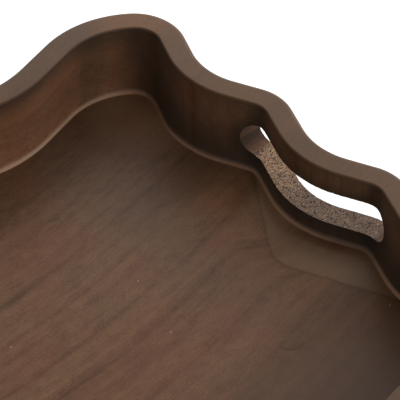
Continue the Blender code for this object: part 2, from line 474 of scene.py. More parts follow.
def growth_line():
    """A dark line between two seasons' growth, soft on both sides. It lies at a distance across
    the grain, wanders off it by a slope, and comes and goes along its length."""
    inputs = [("Lay", "Vector", (0.0, 0.0, 0.0)), ("Across", "Float", 0.0), ("Slope", "Float", 0.0),
              ("Width", "Float", 1.0 * MM), ("Strength", "Float", 0.5)]
    group, given, result = new_group("growth_line", inputs, [("Darkness", "Float")])
    x, across, _ = parts_of(group, given.outputs["Lay"])
    line = sum_of(group, "MULTIPLY_ADD", x, given.outputs["Slope"], given.outputs["Across"])
    away = sum_of(group, "SUBTRACT", across, line)
    fade = fibres(group, given.outputs["Lay"], LINE_FADE_SIZE)
    kept = spared(group, between(group, fade, LINE_FADE_FROM, LINE_FADE_TO), LINE_FADE)
    darkness = product(group, bell(group, away, given.outputs["Width"]), given.outputs["Strength"], kept)
    put_out(group, result, {"Darkness": darkness})
    return group


# The dark growth lines that show in the floor: how far across the grain each lies, its slope
# off the grain, its width and its strength
GROWTH_LINES = [
    (112.0 * MM, 0.0, 1.4 * MM, 0.16),
    (98.0 * MM, 0.0, 1.6 * MM, 0.14),
    (82.5 * MM, 0.0, 1.4 * MM, 0.24),
    (66.0 * MM, 0.0, 1.0 * MM, 0.22),
    (57.0 * MM, 0.0, 1.4 * MM, 0.56),
    (47.0 * MM, -0.01, 1.1 * MM, 0.16),
    (36.0 * MM, 0.0, 1.1 * MM, 0.30),
    (28.0 * MM, 0.01, 1.1 * MM, 0.16),
    (20.5 * MM, -0.03, 1.2 * MM, 0.18),
    (12.0 * MM, 0.0, 1.2 * MM, 0.34),
    (3.0 * MM, 0.0, 1.1 * MM, 0.16),
    (-5.0 * MM, 0.0, 1.3 * MM, 0.36),
    (-14.5 * MM, 0.0, 1.2 * MM, 0.28),
    (-23.5 * MM, 0.0, 1.2 * MM, 0.20),
    (-32.0 * MM, 0.0, 1.2 * MM, 0.28),
    (-41.0 * MM, 0.01, 1.4 * MM, 0.16),
    (-54.0 * MM, -0.01, 1.6 * MM, 0.18),
    (-71.0 * MM, 0.0, 1.8 * MM, 0.22),
    (-90.0 * MM, 0.01, 1.8 * MM, 0.20),
]
BAND_SIZE = (380.0 * MM, 16.0 * MM, 300.0 * MM)
BAND_WEIGHT = 0.90
STREAK_SIZE = (130.0 * MM, 4.6 * MM, 160.0 * MM)
STREAK_WEIGHT = 0.65
LINE_SIZE = (60.0 * MM, 1.3 * MM, 110.0 * MM)
LINE_WEIGHT = 0.30
LINE_WEIGHT_MORE_ON_ENDS = 0.20
FIBRE_SIZE = (5.0 * MM, 0.60 * MM, 7.0 * MM)
FIBRE_WEIGHT = 0.70
MOTTLE_SIZE = (8.0 * MM, 4.5 * MM, 6.0 * MM)
MOTTLE_WEIGHT = 0.80
GRIT_SIZE = (1.4 * MM, 1.0 * MM, 1.1 * MM)
GRIT_WEIGHT = 0.80
PORE_SIZE = (3.0 * MM, 0.42 * MM, 0.9 * MM)
PORE_FROM = 0.60
PORE_TO = 0.72
BLOTCH_SIZE = (44.0 * MM, 22.0 * MM, 30.0 * MM)
GRAIN_DETAIL = 2.0
MEAN_DARKNESS = 0.34
PLAIN_FROM = -25.0 * MM
PLAIN_TO = -95.0 * MM
PLAIN_DARKER = 0.22
PLAIN_CALMER = 0.45
PLAIN_END_FROM = 80.0 * MM
PLAIN_END_TO = 130.0 * MM
PLAIN_END_SHARE = 0.5
ENDS_CALMER = 0.25
SIDES_CALMER = 0.40


def wood_figure(lay_group, line_group):
    """How dark the wood is over its surface, how deep its pores are, and how its hue drifts.
    It grows plainer toward the right side and the ends."""
    outputs = [("Darkness", "Float"), ("Pores", "Float"), ("Warmth", "Float"), ("Fibres", "Float"),
               ("Plain", "Float")]
    group, _, result = new_group("wood_figure", [], outputs)
    lay_node = add_node(group, "Group", {}, node_tree=lay_group)
    lay = lay_node.outputs["Lay"]
    place = lay_node.outputs["Place"]
    x, y, _ = parts_of(group, place)
    normal_x, normal_y, _ = parts_of(group, add_node(group, "TexCoord", {}).outputs["Normal"])
    endward = sum_of(group, "ABSOLUTE", normal_x)
    sideward = sum_of(group, "ABSOLUTE", normal_y)
    line_weight = sum_of(group, "MULTIPLY_ADD", endward, LINE_WEIGHT_MORE_ON_ENDS, LINE_WEIGHT)
    fine = fibres(group, lay, FIBRE_SIZE, GRAIN_DETAIL)
    change = swayed(group, 0.0, (fibres(group, lay, BAND_SIZE, GRAIN_DETAIL), BAND_WEIGHT),
                    (fibres(group, lay, STREAK_SIZE, GRAIN_DETAIL), STREAK_WEIGHT),
                    (fibres(group, lay, LINE_SIZE, GRAIN_DETAIL), line_weight),
                    (fine, FIBRE_WEIGHT),
                    (fibres(group, place, MOTTLE_SIZE, GRAIN_DETAIL), MOTTLE_WEIGHT),
                    (fibres(group, place, GRIT_SIZE), GRIT_WEIGHT))
    for across, slope, width, strength in GROWTH_LINES:
        given = {"Lay": lay, "Across": across, "Slope": slope, "Width": width, "Strength": strength}
        line = add_node(group, "Group", given, node_tree=line_group)
        change = sum_of(group, "ADD", change, line.outputs["Darkness"])
    toward_right = between(group, y, PLAIN_FROM, PLAIN_TO)
    change = product(group, change, spared(group, toward_right, PLAIN_CALMER),
                     spared(group, endward, ENDS_CALMER), spared(group, sideward, SIDES_CALMER))
    darkness = sum_of(group, "MULTIPLY_ADD", toward_right, PLAIN_DARKER, MEAN_DARKNESS)
    darkness = sum_of(group, "ADD", darkness, change)
    toward_end = between(group, sum_of(group, "ABSOLUTE", x), PLAIN_END_FROM, PLAIN_END_TO)
    toward_end = product(group, toward_end, spared(group, endward), PLAIN_END_SHARE)
    put_out(group, result, {
        "Darkness": darkness,
        "Pores": between(group, fibres(group, place, PORE_SIZE), PORE_FROM, PORE_TO),
        "Warmth": fibres(group, place, BLOTCH_SIZE),
        "Fibres": fine,
        "Plain": sum_of(group, "MAXIMUM", toward_right, toward_end),
    })
    return group


PATCH_CORNER = (147.6 * MM, -12.0 * MM)
PATCH_SIDE_TURNS = (math.radians(-37.16), math.radians(24.39))
PATCH_ROUND = 14.0 * MM
PATCH_FROM = -0.6 * MM
PATCH_TO = 1.4 * MM
PATCH_LINE_WIDTH = 0.7 * MM
CRACK_CENTRE = (117.0 * MM, -52.5 * MM)
CRACK_RADIUS = 7.0 * MM
CRACK_WIDTH = 0.5 * MM
CRACK_DARKNESS = 2.0
CRACK_TOP_FROM = 1.5 * MM
CRACK_TOP_TO = -1.5 * MM
CRACK_FOOT_FROM = 4.0 * MM
CRACK_FOOT_TO = 1.0 * MM
WOBBLE_SIZE = (12.0 * MM, 12.0 * MM, 12.0 * MM)
WOBBLE = 1.6 * MM


def inside_patch(tree, x, y):
    """How far inside the smooth patch a point lies. Its straight sides meet in a round corner."""
    away_x = sum_of(tree, "SUBTRACT", x, PATCH_CORNER[0])
    away_y = sum_of(tree, "SUBTRACT", y, PATCH_CORNER[1])
    sides = []
    for turn in PATCH_SIDE_TURNS:
        along_x = product(tree, away_x, math.cos(turn))
        sides.append(sum_of(tree, "MULTIPLY_ADD", away_y, math.sin(turn), along_x))
    return sum_of(tree, "SMOOTH_MIN", *sides, PATCH_ROUND)


def curved_crack(tree, x, y, wobble):
    """A short dark crack, a quarter of an uneven circle."""
    from_arc = sum_of(tree, "SUBTRACT", distance_from(tree, x, y, CRACK_CENTRE), CRACK_RADIUS)
    crack = bell(tree, sum_of(tree, "ADD", from_arc, wobble), CRACK_WIDTH)
    from_x = sum_of(tree, "SUBTRACT", x, CRACK_CENTRE[0])
    from_y = sum_of(tree, "SUBTRACT", y, CRACK_CENTRE[1])
    return product(tree, crack, between(tree, from_y, CRACK_TOP_FROM, CRACK_TOP_TO),
                   between(tree, from_x, CRACK_FOOT_FROM, CRACK_FOOT_TO))


# The spots in the floor, each with its centre in plan, the distance to which it is full and
# the distance at which it ends
# A painted shadow on the floor near the end wall.
PAINTED_SHADOW_SPOT = ((181.0 * MM, -63.0 * MM), 6.0 * MM, 24.0 * MM)
PAINTED_SHADOW_DARKNESS = 0.95
RUDDY_SPOT = ((160.0 * MM, 37.0 * MM), 4.0 * MM, 20.0 * MM)
# Painted light in the far corners of the floor, where the painted shade along the walls stops.
PAINTED_LIGHT_CORNER = ((180.0 * MM, 115.0 * MM), 8.0 * MM, 42.0 * MM)
SPECK_PLACES = [(15.3 * MM, 34.6 * MM), (77.9 * MM, -10.5 * MM), (89.4 * MM, 24.6 * MM),
                (169.3 * MM, -71.1 * MM)]
SPECK_RADIUS = 0.45 * MM
FLOOR_LEVEL_FROM = 0.5
FLOOR_LEVEL_TO = 0.9
# Painted shade on the floor: along the end walls' dip by the slots, along the ends and along the sides.
DIP_EDGE_FROM = 10.0 * MM
DIP_EDGE_TO = 3.0 * MM
DIP_EDGE_FROM_Y = 4.0 * MM
DIP_EDGE_TO_Y = -12.0 * MM
DIP_HIDES_PATCH = 0.8
END_EDGE_FROM = 96.0 * MM
END_EDGE_TO = 166.0 * MM
END_EDGE_FROM_Y = 24.0 * MM
END_EDGE_TO_Y = 66.0 * MM
NARROWER_BY = 32.0 * MM
NARROWER_FROM_Y = 10.0 * MM
NARROWER_TO_Y = -10.0 * MM
SIDE_EDGE_FROM = 72.0 * MM
SIDE_EDGE_TO = 112.0 * MM


def by_slot_dip(tree, far_x, y):
    """1 along the dip of the end walls, on the right half of the hand slots, where shade is painted on
    the floor.
    """
    from_dip = distance_from(tree, far_x, y, (END_DIP_X, 0.0))
    from_dip = sum_of(tree, "SUBTRACT", from_dip, END_DIP_RADIUS)
    return product(tree, between(tree, from_dip, DIP_EDGE_FROM, DIP_EDGE_TO),
                   between(tree, y, DIP_EDGE_FROM_Y, DIP_EDGE_TO_Y))


def by_walls(tree, far_x, y, far_y):
    """1 along the ends and the sides of the floor, where shade is painted, in a narrower strip on the
    ends' right half.
    """
    narrower = product(tree, between(tree, y, NARROWER_FROM_Y, NARROWER_TO_Y), NARROWER_BY)
    by_end = between(tree, sum_of(tree, "SUBTRACT", far_x, narrower), END_EDGE_FROM, END_EDGE_TO)
    by_end = product(tree, by_end, between(tree, far_y, END_EDGE_FROM_Y, END_EDGE_TO_Y))
    return sum_of(tree, "MAXIMUM", by_end, between(tree, far_y, SIDE_EDGE_FROM, SIDE_EDGE_TO))


def floor_marks_and_painted_light():
    """Marks in the floor: a smooth, rounded patch with a fine dark edge in front of one hand
    slot, its colour partly a painted sheen, a short curved crack, a painted shadow and a redder
    spot near it, a few pale specks, painted shade along the walls, and painted light in the
    corners."""
    outputs = [("Patch And Painted Light", "Float"), ("Line", "Float"), ("Specks", "Float"), ("Edges", "Float"),
               ("Ruddy", "Float")]
    group, _, result = new_group("floor_marks_and_painted_light", [], outputs)
    coordinates = add_node(group, "TexCoord", {}).outputs
    x, y, z = parts_of(group, coordinates["Object"])
    far_x = sum_of(group, "ABSOLUTE", x)
    far_y = sum_of(group, "ABSOLUTE", y)
    upness = parts_of(group, coordinates["Normal"])[2]
    on_floor = sum_of(group, "LESS_THAN", z, FLOOR_THICKNESS + COVE_RADIUS / 2)
    on_floor = product(group, on_floor, between(group, upness, FLOOR_LEVEL_FROM, FLOOR_LEVEL_TO))
    wobble = swayed(group, 0.0, (fibres(group, coordinates["Object"], WOBBLE_SIZE), WOBBLE))
    inside = sum_of(group, "ADD", inside_patch(group, x, y), wobble)
    line = bell(group, inside, PATCH_LINE_WIDTH)
    crack = curved_crack(group, x, y, wobble)
    line = sum_of(group, "MULTIPLY_ADD", crack, CRACK_DARKNESS, line)
    # The painted shadow is added to the dark line and the crack.
    line = sum_of(group, "MULTIPLY_ADD", spot(group, x, y, *PAINTED_SHADOW_SPOT), PAINTED_SHADOW_DARKNESS, line)
    specks = 0.0
    for centre in SPECK_PLACES:
        speck = spot(group, x, y, centre, SPECK_RADIUS / 2, SPECK_RADIUS)
        specks = sum_of(group, "MAXIMUM", specks, speck)
    # Painted light in the corners, laid with the patch's colour.
    corner = spot(group, far_x, far_y, *PAINTED_LIGHT_CORNER)
    by_dip = by_slot_dip(group, far_x, y)
    patch = product(group, between(group, inside, PATCH_FROM, PATCH_TO),
                    spared(group, by_dip, DIP_HIDES_PATCH))
    edges = sum_of(group, "MAXIMUM", by_walls(group, far_x, y, far_y), by_dip)
    marks_and_light = {
        "Patch And Painted Light": sum_of(group, "MAXIMUM", patch, corner),
        "Line": line,
        "Specks": specks,
        "Edges": product(group, edges, spared(group, corner)),
        "Ruddy": spot(group, x, y, *RUDDY_SPOT),
    }
    put_out(group, result, {name: product(group, mark, on_floor) for name, mark in marks_and_light.items()})
    return group


# Spots on the walls and the rim, given as the floor's are
# Painted shade lies at the foot of the end walls, in the tip and lobe hollows, at the top of the corners
# and under the rim.
TIP_HOLLOW = ((188.0 * MM, 104.0 * MM), 9.0 * MM, 27.0 * MM)
CORNER_TOP = ((191.0 * MM, 126.0 * MM), 6.0 * MM, 16.0 * MM)
WORN_RIM = ((188.0 * MM, 134.0 * MM), 8.0 * MM, 30.0 * MM)
LESS_WORN_RIM = ((188.0 * MM, 52.0 * MM), 8.0 * MM, 26.0 * MM)
LESS_WORN = 0.3
LOST_COVE = ((183.0 * MM, -33.0 * MM), 6.0 * MM, 22.0 * MM)
FACING_FROM = -0.25
FACING_TO = -0.75
ENDWISE_FROM = -0.30
ENDWISE_TO = -0.80
LEAST_LEVEL = 0.02
TURNING_FROM = -0.95
TURNING_TO = -0.55
CORNER_SPARED = 0.25
CORNER_FROM_Y = 94.0 * MM
CORNER_TO_Y = 106.0 * MM
FOOT_FROM = 49.0 * MM
FOOT_TO = 17.0 * MM
SIDE_FOOT_FROM = 28.0 * MM
SIDE_FOOT_TO = 14.0 * MM
UNDER_RIM_FROM = TOP - 17.0 * MM
UNDER_RIM_TO = TOP - RIM_INNER_ROUND
CORNER_TOP_FROM = 20.0 * MM
CORNER_TOP_TO = 45.0 * MM
LOBE_HOLLOW = 11.0 * MM
SIDE_SHADE_X = 162.0 * MM
SIDE_SHADE_FULL_TO = 3.0 * MM
SIDE_SHADE_ENDS_AT = 13.0 * MM
# The walls are darker round the hand slots, out to this distance.
SLOT_DARK_REACH = 9.0 * MM
# Where a painted sheen makes the rim greyer toward the right.
RIM_SHEEN_FROM = -5.0 * MM
RIM_SHEEN_TO = -45.0 * MM
FOOT_DEPTH = 0.62
SIDE_UNDER_RIM_DEPTH = 0.56
END_UNDER_RIM_DEPTH = 0.20
LOBE_DEPTH = 0.46
TIP_DEPTH = 0.46
CORNER_TOP_DEPTH = 0.36
SIDE_SHADE_DEPTH = 0.26
SLOT_DARK_DEPTH = 0.48


def round_slot(tree, far_y, z):
    """1 at the edge of a hand slot, fading out round it."""
    past_flat = sum_of(tree, "MAXIMUM", sum_of(tree, "SUBTRACT", far_y, SLOT_HALF_FLAT), 0.0)
    rise = sum_of(tree, "SUBTRACT", z, SLOT_MIDDLE_Z)
    from_slot = sum_of(tree, "SUBTRACT", distance_from(tree, past_flat, rise), SLOT_HEIGHT / 2)
    return between(tree, from_slot, SLOT_DARK_REACH, 0.0)


def wall_foot(tree, facing_x, far_y, z):
    """1 at the foot of a wall, where shade is painted. The painted shade spares the corners, most of all
    where they turn.
    """
    turning = between(tree, facing_x, TURNING_FROM, TURNING_TO)
    clear = sum_of(tree, "MULTIPLY_ADD", turning, 1.0 - CORNER_SPARED, CORNER_SPARED)
    clear = product(tree, clear, between(tree, far_y, CORNER_FROM_Y, CORNER_TO_Y))
    return product(tree, between(tree, z, FOOT_FROM, FOOT_TO), spared(tree, clear))


def painted_wall_shade():
    """Where shade is painted on the inside of the walls: toward the foot of the end walls, in the
    tight hollows of the scallops and under the rim. The walls are also darker round the hand slots
    and in a band on the side walls. Also which way a wall faces, where its foot is, where the rim
    wore lighter, and where a painted sheen makes the rim greyer on the right."""
    outputs = [("Depth", "Float"), ("Endward", "Float"), ("Inward", "Float"), ("Hollow", "Float"),
               ("Foot", "Float"), ("Worn", "Float"), ("Endwise", "Float"), ("Rightward", "Float")]
    group, _, result = new_group("painted_wall_shade", [], outputs)
    coordinates = add_node(group, "TexCoord", {}).outputs
    x, y, z = parts_of(group, coordinates["Object"])
    normal_x, normal_y, _ = parts_of(group, coordinates["Normal"])
    far_x = sum_of(group, "ABSOLUTE", x)
    far_y = sum_of(group, "ABSOLUTE", y)
    facing_x = product(group, sum_of(group, "SIGN", x), normal_x)
    facing_y = product(group, sum_of(group, "SIGN", y), normal_y)
    endward = between(group, facing_x, FACING_FROM, FACING_TO)
    sideward = between(group, facing_y, FACING_FROM, FACING_TO)
    inward = sum_of(group, "MAXIMUM", endward, sideward)
    level = sum_of(group, "MAXIMUM", distance_from(group, normal_x, normal_y), LEAST_LEVEL)
    endwise = between(group, sum_of(group, "DIVIDE", facing_x, level), ENDWISE_FROM, ENDWISE_TO)
    under_rim = between(group, z, UNDER_RIM_FROM, UNDER_RIM_TO)
    from_lobe = sum_of(group, "ABSOLUTE", sum_of(group, "SUBTRACT", far_y, END_PITCH / 2))
    lobe = between(group, from_lobe, LOBE_HOLLOW, 0.0)
    tip = spot(group, far_x, far_y, *TIP_HOLLOW)
    corner_top = product(group, spot(group, far_x, far_y, *CORNER_TOP),
                         between(group, z, CORNER_TOP_FROM, CORNER_TOP_TO))
    from_shade = sum_of(group, "ABSOLUTE", sum_of(group, "SUBTRACT", x, SIDE_SHADE_X))
    shade = between(group, from_shade, SIDE_SHADE_ENDS_AT, SIDE_SHADE_FULL_TO)
    clear = []
    for mask, where, depth in ((wall_foot(group, facing_x, far_y, z), endward, FOOT_DEPTH),
                               (under_rim, sideward, SIDE_UNDER_RIM_DEPTH),
                               (under_rim, endward, END_UNDER_RIM_DEPTH),
                               (lobe, endward, LOBE_DEPTH),
                               (tip, inward, TIP_DEPTH),
                               (round_slot(group, far_y, z), endward, SLOT_DARK_DEPTH),
                               (corner_top, inward, CORNER_TOP_DEPTH),
                               (shade, sideward, SIDE_SHADE_DEPTH)):
        clear.append(spared(group, product(group, mask, where), depth))
    less_worn = product(group, spot(group, far_x, far_y, *LESS_WORN_RIM), LESS_WORN)
    put_out(group, result, {
        "Depth": spared(group, product(group, *clear)),
        "Endward": endward,
        "Endwise": endwise,
        "Inward": inward,
        "Hollow": sum_of(group, "MAXIMUM", tip, spot(group, x, y, *LOST_COVE)),
        "Foot": between(group, z, SIDE_FOOT_FROM, SIDE_FOOT_TO),
        "Worn": sum_of(group, "MAXIMUM", spot(group, far_x, far_y, *WORN_RIM), less_worn),
        "Rightward": between(group, y, RIM_SHEEN_FROM, RIM_SHEEN_TO),
    })
    return group


COVE_LINE_FROM = FLOOR_THICKNESS - 0.2 * MM
COVE_LINE_TO = FLOOR_THICKNESS + 0.1 * MM
COVE_RISES_FROM = 0.40
COVE_RISES_TO = 0.90
COVE_FALLS_FROM = 0.990
COVE_FALLS_TO = 0.940
COVE_LOST_IN_HOLLOWS = 0.60
COVE_FAINTER_ON_ENDS = 0.78


def cove_mask(tree, endward, hollow):
    """1 along the cove between a side wall and the floor, where the stain was rubbed thin and a
    highlight is painted on it. It is fainter along the end walls, in the corners' hollows and at one
    place by a hand slot."""
    coordinates = add_node(tree, "TexCoord", {}).outputs
    height = parts_of(tree, coordinates["Object"])[2]
    upness = parts_of(tree, coordinates["Normal"])[2]
    return product(tree, between(tree, height, COVE_LINE_FROM, COVE_LINE_TO),
                   sum_of(tree, "LESS_THAN", height, FLOOR_THICKNESS + COVE_RADIUS),
                   between(tree, upness, COVE_RISES_FROM, COVE_RISES_TO),
                   between(tree, upness, COVE_FALLS_FROM, COVE_FALLS_TO),
                   spared(tree, hollow, COVE_LOST_IN_HOLLOWS),
                   spared(tree, endward, COVE_FAINTER_ON_ENDS))


def rim_mask(tree):
    """1 on the flat top of the wall, which was planed and took less stain."""
    height = parts_of(tree, add_node(tree, "TexCoord", {}).outputs["Object"])[2]
    return between(tree, height, TOP - RIM_OUTER_ROUND, TOP - RIM_INNER_ROUND / 2)


# The light wood is greyer than the dark, a painted sheen on the lighter fibres.
LIGHT_STAIN_AND_SHEEN = (0.172, 0.0825, 0.0385, 1.0)
# Dark wood, also laid for the painted shadow on the floor.
DARK_STAIN_AND_SHADOW = (0.062, 0.0222, 0.0042, 1.0)
RED_STAIN = (0.150, 0.050, 0.021, 1.0)
OLIVE_STAIN = (0.120, 0.064, 0.026, 1.0)
# The side walls are painted lighter, standing in for the light that falls on them.
SIDE_PAINTED_LIGHT = (0.215, 0.106, 0.058, 1.0)
SIDE_FOOT_STAIN = (0.300, 0.145, 0.080, 1.0)
END_STAIN = (0.153, 0.082, 0.050, 1.0)
RIM_STAIN = (0.075, 0.0375, 0.0165, 1.0)
WORN_RIM_STAIN = (0.125, 0.058, 0.023, 1.0)
# A painted sheen that makes the rim greyer on the right.
RIM_SHEEN_GREY = (0.081, 0.0438, 0.0212, 1.0)
# Greyer wood toward the right side and the ends; toward the right it is a painted sheen.
PLAIN_STAIN_AND_SHEEN = (0.080, 0.048, 0.033, 1.0)
# Painted shade on the floor along the walls.
FLOOR_SHADE_COLOUR = (0.034, 0.0215, 0.0145, 1.0)
# The patch's lighter, greyer colour, partly a painted sheen; the far corners take it as painted light.
PATCH_TONE_AND_SHEEN = (0.162, 0.093, 0.052, 1.0)
# Painted shade: the near-black laid at the foot of the end walls, in the scallops' hollows and under the
# rim.
PAINTED_WALL_SHADE = (0.0125, 0.0135, 0.0118, 1.0)
PORE_COLOUR = (0.022, 0.011, 0.007, 1.0)
# Lighter stain along the cove with a painted highlight on it.
COVE_WEAR_AND_HIGHLIGHT = (0.352, 0.216, 0.132, 1.0)
END_COVE_WEAR_AND_HIGHLIGHT = (0.320, 0.158, 0.082, 1.0)
SPECK_COLOUR = (0.400, 0.290, 0.200, 1.0)
WARM_FROM = 0.45
WARM_TO = 0.70
COOL_FROM = 0.48
COOL_TO = 0.30
RED_SHARE = 0.28
OLIVE_SHARE = 0.34
PLAIN_SHARE = 0.40
FLOOR_SHADE_SHARE = 0.42
PATCH_SHARE = 0.65
PATCH_SHARE_LESS_WARM = 0.35
LINE_SHARE = 0.45
RIM_SHARE = 0.92
RIM_SHARE_LESS_WARM = 0.25
PORE_SHARE = 0.35
PLAIN_HIDES_COVE = 0.8
SATIN = 0.42
SATIN_VARIES = 0.16
RIM_DULLER = 0.12
COVE_SMOOTHER = 0.12
LACQUER_SHINE = 0.15
PORE_BUMP_STRENGTH = 0.25
PORE_BUMP_DEPTH = 0.06 * MM


def wood_stain_and_painted_light(name, figure_group, wall_shade_group, marks_and_light_group):
    """The tray's finish: dark stain over open-pored wood under a thin satin lacquer, with painted light
    and shade in its colour.
    """
    material = bpy.data.materials.new(name)
    material.use_nodes = True
    tree = material.node_tree
    shader = tree.nodes["Principled BSDF"]
    figure = add_node(tree, "Group", {}, node_tree=figure_group).outputs
    wall_shade = add_node(tree, "Group", {}, node_tree=wall_shade_group).outputs
    marks_and_light = add_node(tree, "Group", {}, node_tree=marks_and_light_group).outputs
    side_wall = sum_of(tree, "SUBTRACT", wall_shade["Inward"], wall_shade["Endward"])
    warmth = between(tree, figure["Warmth"], WARM_FROM, WARM_TO)
    redness = sum_of(tree, "MAXIMUM", warmth, marks_and_light["Ruddy"])
    coolness = between(tree, figure["Warmth"], COOL_FROM, COOL_TO)
    patch_colour_share = sum_of(tree, "MULTIPLY_ADD", warmth, -PATCH_SHARE_LESS_WARM, PATCH_SHARE)
    rim = rim_mask(tree)
    rim_share = sum_of(tree, "MULTIPLY_ADD", warmth, -RIM_SHARE_LESS_WARM, RIM_SHARE)
    # The rim's stain, with a painted sheen greying it on the right and its worn spots.
    rim_stain_and_sheen = stained(tree, wall_shade["Rightward"], RIM_SHEEN_GREY, RIM_STAIN)
    rim_stain_and_sheen = stained(tree, wall_shade["Worn"], WORN_RIM_STAIN, rim_stain_and_sheen)
    cove_on_ends = product(tree, wall_shade["Endwise"], spared(tree, figure["Plain"], PLAIN_HIDES_COVE))
    cove = cove_mask(tree, cove_on_ends, wall_shade["Hollow"])
    cove_wear_and_highlight = stained(tree, wall_shade["Endwise"], END_COVE_WEAR_AND_HIGHLIGHT, COVE_WEAR_AND_HIGHLIGHT)
    colour = LIGHT_STAIN_AND_SHEEN
    # The side walls' lighter colour is painted light.
    for mask, stain in ((side_wall, SIDE_PAINTED_LIGHT),
                        (product(tree, side_wall, wall_shade["Foot"]), SIDE_FOOT_STAIN),
                        (wall_shade["Endward"], END_STAIN),
                        (figure["Darkness"], DARK_STAIN_AND_SHADOW),
                        (product(tree, redness, RED_SHARE), RED_STAIN),
                        (product(tree, coolness, OLIVE_SHARE), OLIVE_STAIN),
                        # Greyer toward the right side and the ends, partly a painted sheen.
                        (product(tree, figure["Plain"], PLAIN_SHARE), PLAIN_STAIN_AND_SHEEN),
                        # Painted shade along the floor's walls.
                        (product(tree, marks_and_light["Edges"], FLOOR_SHADE_SHARE), FLOOR_SHADE_COLOUR),
                        # The patch, partly a painted sheen, and the painted light in the corners.
                        (product(tree, marks_and_light["Patch And Painted Light"], patch_colour_share), PATCH_TONE_AND_SHEEN),
                        # The patch's dark edge, the crack and the painted shadow.
                        (product(tree, marks_and_light["Line"], LINE_SHARE), DARK_STAIN_AND_SHADOW),
                        (product(tree, rim, rim_share), rim_stain_and_sheen),
                        (product(tree, figure["Pores"], PORE_SHARE), PORE_COLOUR),
                        # Painted shade on the inside of the walls.
                        (wall_shade["Depth"], PAINTED_WALL_SHADE),
                        # Lighter stain and a painted highlight along the cove.
                        (cove, cove_wear_and_highlight),
                        (marks_and_light["Specks"], SPECK_COLOUR)):
        colour = stained(tree, mask, stain, colour)
    tree.links.new(colour, shader.inputs["Base Color"])
    roughness = swayed(tree, SATIN, (figure["Fibres"], SATIN_VARIES))
    roughness = sum_of(tree, "MULTIPLY_ADD", rim, RIM_DULLER, roughness)
    roughness = sum_of(tree, "MULTIPLY_ADD", cove, -COVE_SMOOTHER, roughness)
    tree.links.new(roughness, shader.inputs["Roughness"])
    shader.inputs["Specular IOR Level"].default_value = LACQUER_SHINE
    height = sum_of(tree, "SUBTRACT", figure["Fibres"], figure["Pores"])
    relief = {"Height": height, "Strength": PORE_BUMP_STRENGTH, "Distance": PORE_BUMP_DEPTH}
    tree.links.new(add_node(tree, "Bump", relief).outputs[0], shader.inputs["Normal"])
    return material


SAWN_LIGHT = (0.525, 0.334, 0.208, 1.0)
SAWN_DARK = (0.085, 0.048, 0.030, 1.0)
SAWN_FIBRE = (0.52, 0.39, 0.29, 1.0)
SAWN_HOLE = (0.012, 0.008, 0.006, 1.0)
SAWN_GREY = (0.102, 0.070, 0.054, 1.0)
SLOT_END_LIGHT = (0.112, 0.056, 0.032, 1.0)
SLOT_END_DARK = (0.048, 0.027, 0.018, 1.0)
SAWN_BROAD_SIZE = (9.0 * MM, 6.0 * MM, 6.0 * MM)
SAWN_BROAD_WEIGHT = 0.8
SAWN_GRIT_SIZE = (1.0 * MM, 0.6 * MM, 0.6 * MM)
SAWN_GRIT_WEIGHT = 2.5
SAWN_GRIT_DETAIL = 3.0
SAWN_LIGHTNESS = 0.52
HOLE_SIZE = (1.3 * MM, 0.8 * MM, 0.8 * MM)
HOLE_FROM = 0.58
HOLE_TO = 0.67
HOLE_SHARE = 0.9
HOLE_DEPTH = 0.9
SPLINTER_SIZE = (2.2 * MM, 0.5 * MM, 0.5 * MM)
SPLINTER_FROM = 0.62
SPLINTER_TO = 0.74
SPLINTER_SHARE = 0.6
WEATHERED_FROM_Y = 28.0 * MM
WEATHERED_TO_Y = -2.0 * MM
WEATHERED_SHARE = 0.74
BURNISH_SIZE = (30.0 * MM, 5.0 * MM, 5.0 * MM)
BURNISH_FROM = 0.40
BURNISH_TO = 0.66
SLOT_END_BLEND = 6.0 * MM
SLOT_END_FLATTER = 0.8
SAWN_ROUGHNESS = 0.85
SAWN_SHINE = 0.2
SAWN_BUMP_STRENGTH = 0.9
SAWN_BUMP_DEPTH = 0.45 * MM


